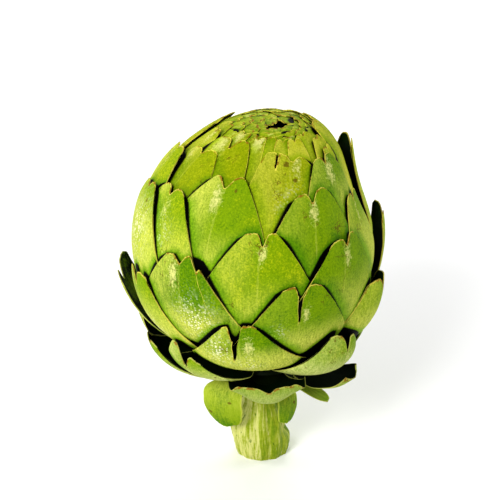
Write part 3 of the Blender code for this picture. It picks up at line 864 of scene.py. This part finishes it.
def bezier(points, t):  # the spot at t and the direction there
    a, b, c, d = (Vector(p) * mm for p in points)
    s = 1 - t
    spot = a * s**3 + b * 3 * s * s * t + c * 3 * s * t * t + d * t**3
    return spot, ((b - a) * s * s + (c - b) * 2 * s * t + (d - c) * t * t).normalized()


def looseLeaf(name, leaf, seed):
    corners = [Vector(corner) for corner in leaf["line"]]
    length = sum((b - a).length for a, b in zip(corners, corners[1:])) * 0.93 * mm  # a curve cuts its corners

    def place(u, v, side):
        notch = leaf.get("notch", 0) * mm * bell(u, 0.22) + 0.3 * mm * grain(u * 6, 2, seed)
        t = min(v + notch * (1 - v) / length, 1)
        middle, along = bezier(leaf["line"], 1 - t)
        under = Vector((along.y, -along.x))
        rounding = math.sqrt(1 - (1 - min(v / 0.3, 1)) ** 2)
        half = leaf["width"] * mm / 2 * blend(leaf["tipShare"], 1, rounding)
        half *= 1 - 0.5 * smoothStep(v, 0.5, 1)
        half *= 1 + 0.02 * grain(v * 9, 4, seed)
        cup = blend(leaf["tipCup"], leaf["cup"], smoothStep(v / 0.45))
        drop = cup * mm * u * u * (1 - 0.6 * v)
        thick = blend(fineLeaf["edge"], fineLeaf["middle"], (1 - u * u) * smoothStep(v, 0, 0.6))
        bumps = (0.3 * grain(u * 2, v * 2.5, seed) + 0.06 * grain(u * half / mm / 0.9, v * 2, seed)) * mm
        raised = middle + under * (side * thick / 2 - drop + bumps * smoothStep(1 - v, 0, 0.3))
        facing = math.radians(leaf.get("facing", leaf["azimuth"]))
        point = around(raised.x, math.radians(leaf["azimuth"]), raised.y)
        point += Vector((math.cos(facing), math.sin(facing), 0)) * (u * half)
        return point, u * half, t * length, min((1 - abs(u)) * half, v * length), coverShade["reach"]

    facts = dict(tone=leaf.get("tone", 0.5), marks=leaf.get("marks", []), grid=fineLeaf)
    facts.update(pale=leaf.get("pale", (-8, 12)), palest=leaf.get("palest", 0.75), veil=0.0)
    return sheetPiece(name, place, facts)


for seed, (node, leaf) in enumerate(looseLeaves.items(), 300):
    piece = looseLeaf(node + "_fine", leaf, seed)
    kind = "leaf" if node.startswith("stem") else "base"
    slot = "stem_leaf_skin" if kind == "leaf" else "base_bract_skin"
    dress(piece, skins[kind], slot, node)
print("loose leaves made")


def turned(profile, sides):  # a closed solid spun from (radius, height) points about the origin's axis
    bm = bmesh.new()
    line = [bm.verts.new((radius, 0, z)) for radius, z in profile]
    line += [bm.edges.new(pair) for pair in zip(line, line[1:])]
    whole = 2 * math.pi
    bmesh.ops.spin(bm, geom=line, axis=(0, 0, 1), cent=(0, 0, 0), angle=whole, steps=sides, use_merge=True)
    bmesh.ops.remove_doubles(bm, verts=bm.verts[:], dist=0.01 * mm)
    bmesh.ops.holes_fill(bm, edges=[e for e in bm.edges if e.is_boundary], sides=0)
    return bm


def feet():  # (radius, height) where the outermost and the innermost bracts meet the heart
    foot = math.radians(spiral["footAngle"])
    return envelope(foot, -0.8 * mm), envelope(foot, -spiral["nestSlope"] * head["meanRadius"] * foot)


innerBud = dict(
    angles=[*range(130, 39, -10), *range(36, 0, -3)],  # degrees from the crown
    belowBracts=5.6 * mm,
    belowScales=2.5 * mm,
    insideHeart=1.5 * mm,
    aboveHeart=0.4 * mm,
    sides=48,
    # painted shade: the inner bud is near black, standing for the dark depths between the bracts
    dark=(0.001, 0.003, 0.000),
    light=(0.004, 0.010, 0.000),
)


def makeBud():
    _, heartTop = feet()
    profile = [(heartTop[0] - innerBud["insideHeart"], heartTop[1] + innerBud["aboveHeart"])]
    for angle in innerBud["angles"]:
        down = head["meanRadius"] * math.radians(angle)
        belowBracts = spiral["nestSlope"] * down + innerBud["belowBracts"]
        belowScales = crown["deepSlope"] * down + innerBud["belowScales"]
        profile.append(envelope(math.radians(angle), -min(belowBracts, belowScales)))
    profile.append((0, head["centreZ"] + head["halfHeight"] - innerBud["belowScales"]))
    bm = turned(profile, innerBud["sides"])
    for vert in bm.verts:
        x, y, z = vert.co
        vert.co = around(math.hypot(x, y), math.atan2(x, -y), z)
    bmesh.ops.recalc_face_normals(bm, faces=bm.faces[:])
    return finishPiece("inner_bud_fine", bm)


def budSkin():
    skin = Skin("bud_skin")
    spot = skin.node("TexCoord", output="Object")
    cloud = skin.noise(spot, 300.0, 3.0, 0.6)
    tint = skin.mix(cloud, colour(*innerBud["dark"]), colour(*innerBud["light"]))
    skin.set(Base_Color=tint, Roughness=0.9, Specular_IOR_Level=0.02)
    return skin.material


dress(makeBud(), budSkin(), "bud_skin", "inner_bud")
print("inner bud made")

stemShape = dict(
    # height and radius in millimetres, from the cut up to where the stem flares into the heart
    profile=[
        (0, 10.7), (3, 11.6), (9, 12.2), (15, 11.6), (20, 9.8), (24, 8.2), (30, 7.9), (34, 10), (38.5, 17),
    ],
    sides=144,
    rows=80,
    ribs=11,
    ribDepth=0.5 * mm,
    ribsEnd=31 * mm,
    ribsFade=8 * mm,
    inset=0.3 * mm,
    wrinkles=((7, 20, 0.35), (19, 14, 0.16)),  # waves round the stem, length along it and depth
)
stemScar = dict(azimuth=88.0, z=11 * mm, depth=3.6 * mm, halfTurn=0.6, halfHeight=3.2 * mm)
stemBulge = dict(azimuth=-85.0, z=14 * mm, out=1.9 * mm, halfTurn=0.8, halfHeight=6 * mm)
stemLook = dict(
    green=(0.120, 0.210, 0.000),
    light=(0.270, 0.330, 0.010),
    cream=(0.560, 0.560, 0.160),
    stroke=(0.050, 0.120, 0.000),
    cut=(0.640, 0.600, 0.240),
    shade=(0.004, 0.010, 0.000),
    shadeHeights=(3.1, 3.5),  # centimetres
)


def stemRadius(z):  # eased from one of the profile's points to the next, z in millimetres
    points = stemShape["profile"]
    for (z0, r0), (z1, r1) in zip(points, points[1:]):
        if z <= z1:
            t = (z - z0) / (z1 - z0)
            return blend(r0, r1, 0.6 * smoothStep(t) + 0.4 * t)
    return points[-1][1]


def stemSkin():
    skin = Skin("stem_skin")
    place = skin.node("UVMap", {"uv_map": "skinMap"})
    spot = skin.node("TexCoord", output="Object")
    hue = {key: colour(*value) for key, value in stemLook.items() if len(value) == 3}
    streak = skin.fibres(place, 5.0, 0.45, 3.0, 0.6)
    fine = skin.fibres(place, 18.0, 1.6, 3.0, 0.65)
    cloud = skin.noise(spot, 90.0, 3.0, 0.6)
    mottle = skin.noise(spot, 700.0, 4.0, 0.7)
    across, up = skin.axes(place)[:2]
    # cream streaks, with more cream towards the left side as painted light, where the key light falls
    cream = streak + (fine - 0.5) * 0.6 + (mottle - 0.5) * 0.3 + skin.range(across, 0.9, -0.9, (-0.06, 0.12))
    green = skin.mix(skin.range(cream, 0.32, 0.52), hue["green"], hue["light"])
    green = skin.mix(skin.range(cream, 0.48, 0.72), green, hue["cream"])
    strokes = skin.fibres(place, 5.0, 1.8, 3.0, 0.7)
    green = skin.mix(skin.range(strokes, 0.6, 0.68) * 0.8, green, hue["stroke"])
    cuts = skin.fibres(place, 9.0, 1.1)
    green = skin.mix(skin.range(cuts, 0.66, 0.7) * 0.85, green, hue["cut"])
    green = skin.mix(skin.range(up, *stemLook["shadeHeights"]), green, hue["shade"])
    skin.set(Base_Color=green, Roughness=skin.range(cloud, 0.2, 0.8, (0.5, 0.62)))
    bump = skin.node("Bump", None, {"Strength": 0.5, "Distance": 0.0004, "Height": streak * 0.4 + fine * 0.6})
    skin.set(Normal=bump, Specular_IOR_Level=0.1)
    return skin.material


def stemPatch(patch, azimuth, z):  # 1 in the middle of the stem's scar or bulge, and 0 away from it
    turn = math.remainder(azimuth - math.radians(patch["azimuth"]), 2 * math.pi)
    return bell(turn, patch["halfTurn"]) * bell(z - patch["z"], patch["halfHeight"])


def stemCarving(azimuth, z):  # how far the stem's side lies inside its profile
    ribs = stemShape["ribDepth"] * (1 - math.cos(stemShape["ribs"] * azimuth)) / 2
    ring = Vector((math.cos(azimuth), math.sin(azimuth), 0))
    wrinkle = 0
    for waves, long, deep in stemShape["wrinkles"]:
        wrinkle += noise.noise(ring * waves + Vector((0, 0, z / mm / long))) * deep * mm
    scar = stemScar["depth"] * stemPatch(stemScar, azimuth, z)
    bulge = stemBulge["out"] * stemPatch(stemBulge, azimuth, z)
    fade = 1 - smoothStep((z - stemShape["ribsEnd"]) / stemShape["ribsFade"])
    return (ribs + scar - bulge + stemShape["inset"] + wrinkle) * fade


def makeStem():
    top = stemShape["profile"][-1][0]
    heights = [top * row / stemShape["rows"] for row in range(stemShape["rows"] + 1)]
    profile = [(stemRadius(z) * mm, z * mm) for z in heights]
    outerFoot, innerFoot = feet()
    profile.append((0.78 * outerFoot[0], outerFoot[1] - 0.2 * mm))
    profile.append((outerFoot[0] - 0.5 * mm, outerFoot[1] + 0.6 * mm))
    profile.append((innerFoot[0] - 0.5 * mm, innerFoot[1]))
    bm = turned(profile, stemShape["sides"])
    uvLayer = bm.loops.layers.uv.new("skinMap")
    meanRadius = 1.1  # centimetres, as in the map
    spots = {}
    for vert in bm.verts:
        x, y, z = vert.co
        azimuth = math.atan2(x, -y)
        spots[vert] = (azimuth * meanRadius, z / cm)
        vert.co = around(math.hypot(x, y) - stemCarving(azimuth, z), azimuth, z)
    for face in bm.faces:  # those at the back are where the map meets itself
        places = [spots[loop.vert][0] for loop in face.loops]
        wraps = max(places) - min(places) > math.pi * meanRadius
        for loop in face.loops:
            x, y = spots[loop.vert]
            loop[uvLayer].uv = (x + 2 * math.pi * meanRadius if wraps and x < 0 else x, y)
    bmesh.ops.recalc_face_normals(bm, faces=bm.faces[:])
    return finishPiece("stem_and_heart_fine", bm)


dress(makeStem(), stemSkin(), "stem_skin", "stem_and_heart")
print("stem made")

floorPaper = dict(halfWidth=4, tint=(0.90, 0.90, 0.90), roughness=0.7)


def makeFloor():
    bm = bmesh.new()
    bmesh.ops.create_grid(bm, x_segments=1, y_segments=1, size=floorPaper["halfWidth"])
    floor = finishPiece("floor", bm)
    paper = Skin("floor_paper")
    paper.set(Base_Color=colour(*floorPaper["tint"]), Roughness=floorPaper["roughness"])
    floor.data.materials.append(paper.material)


def softLight(name, place, aim, size, power):
    light = bpy.data.lights.new(name, "AREA")
    light.shape = "RECTANGLE"
    light.size, light.size_y = size
    light.energy = power
    lamp = bpy.data.objects.new(name, light)
    scene.collection.objects.link(lamp)
    lamp.location = place
    lamp.rotation_euler = (Vector(aim) - Vector(place)).to_track_quat("-Z", "Y").to_euler()


lights = dict(
    key=dict(place=(-0.45, -0.9, 0.72), aim=(0, 0, 0.08), size=(0.45, 0.45), power=14),
    left=dict(place=(-0.8, 0.25, 0.3), aim=(0, 0, 0.07), size=(0.4, 0.7), power=4),
    right=dict(place=(0.8, 0.3, 0.3), aim=(0, 0, 0.07), size=(0.4, 0.7), power=4.5),
    back=dict(place=(0.1, 0.9, 0.7), aim=(0, 0, 0.08), size=(0.8, 0.5), power=7),
)
worldStrength = 0.25


def makeWorld():
    world = bpy.data.worlds.new("studio")
    scene.world = world
    world.use_nodes = True
    sky = world.node_tree.nodes["Background"].inputs
    sky["Color"].default_value = colour(1, 1, 1)
    sky["Strength"].default_value = worldStrength


view = dict(elevation=26.0, distance=0.9, aim=(0, 0, 0.075), lens=165.9, sensor=36, shift=(-0.024, 0.0626))


def makeCamera():
    data = bpy.data.cameras.new("camera")
    camera = bpy.data.objects.new("camera", data)
    scene.collection.objects.link(camera)
    tip = math.radians(view["elevation"])
    forward = Vector((0, math.cos(tip), -math.sin(tip)))
    camera.location = Vector(view["aim"]) - forward * view["distance"]
    camera.rotation_euler = forward.to_track_quat("-Z", "Y").to_euler()
    data.sensor_width = view["sensor"]
    data.lens = view["lens"]
    data.shift_x, data.shift_y = view["shift"]
    data.clip_end = 20
    scene.camera = camera


makeFloor()
for name, light in lights.items():
    softLight(name, **light)
makeWorld()
makeCamera()
scene.view_settings.view_transform = "Standard"
print("stage made")
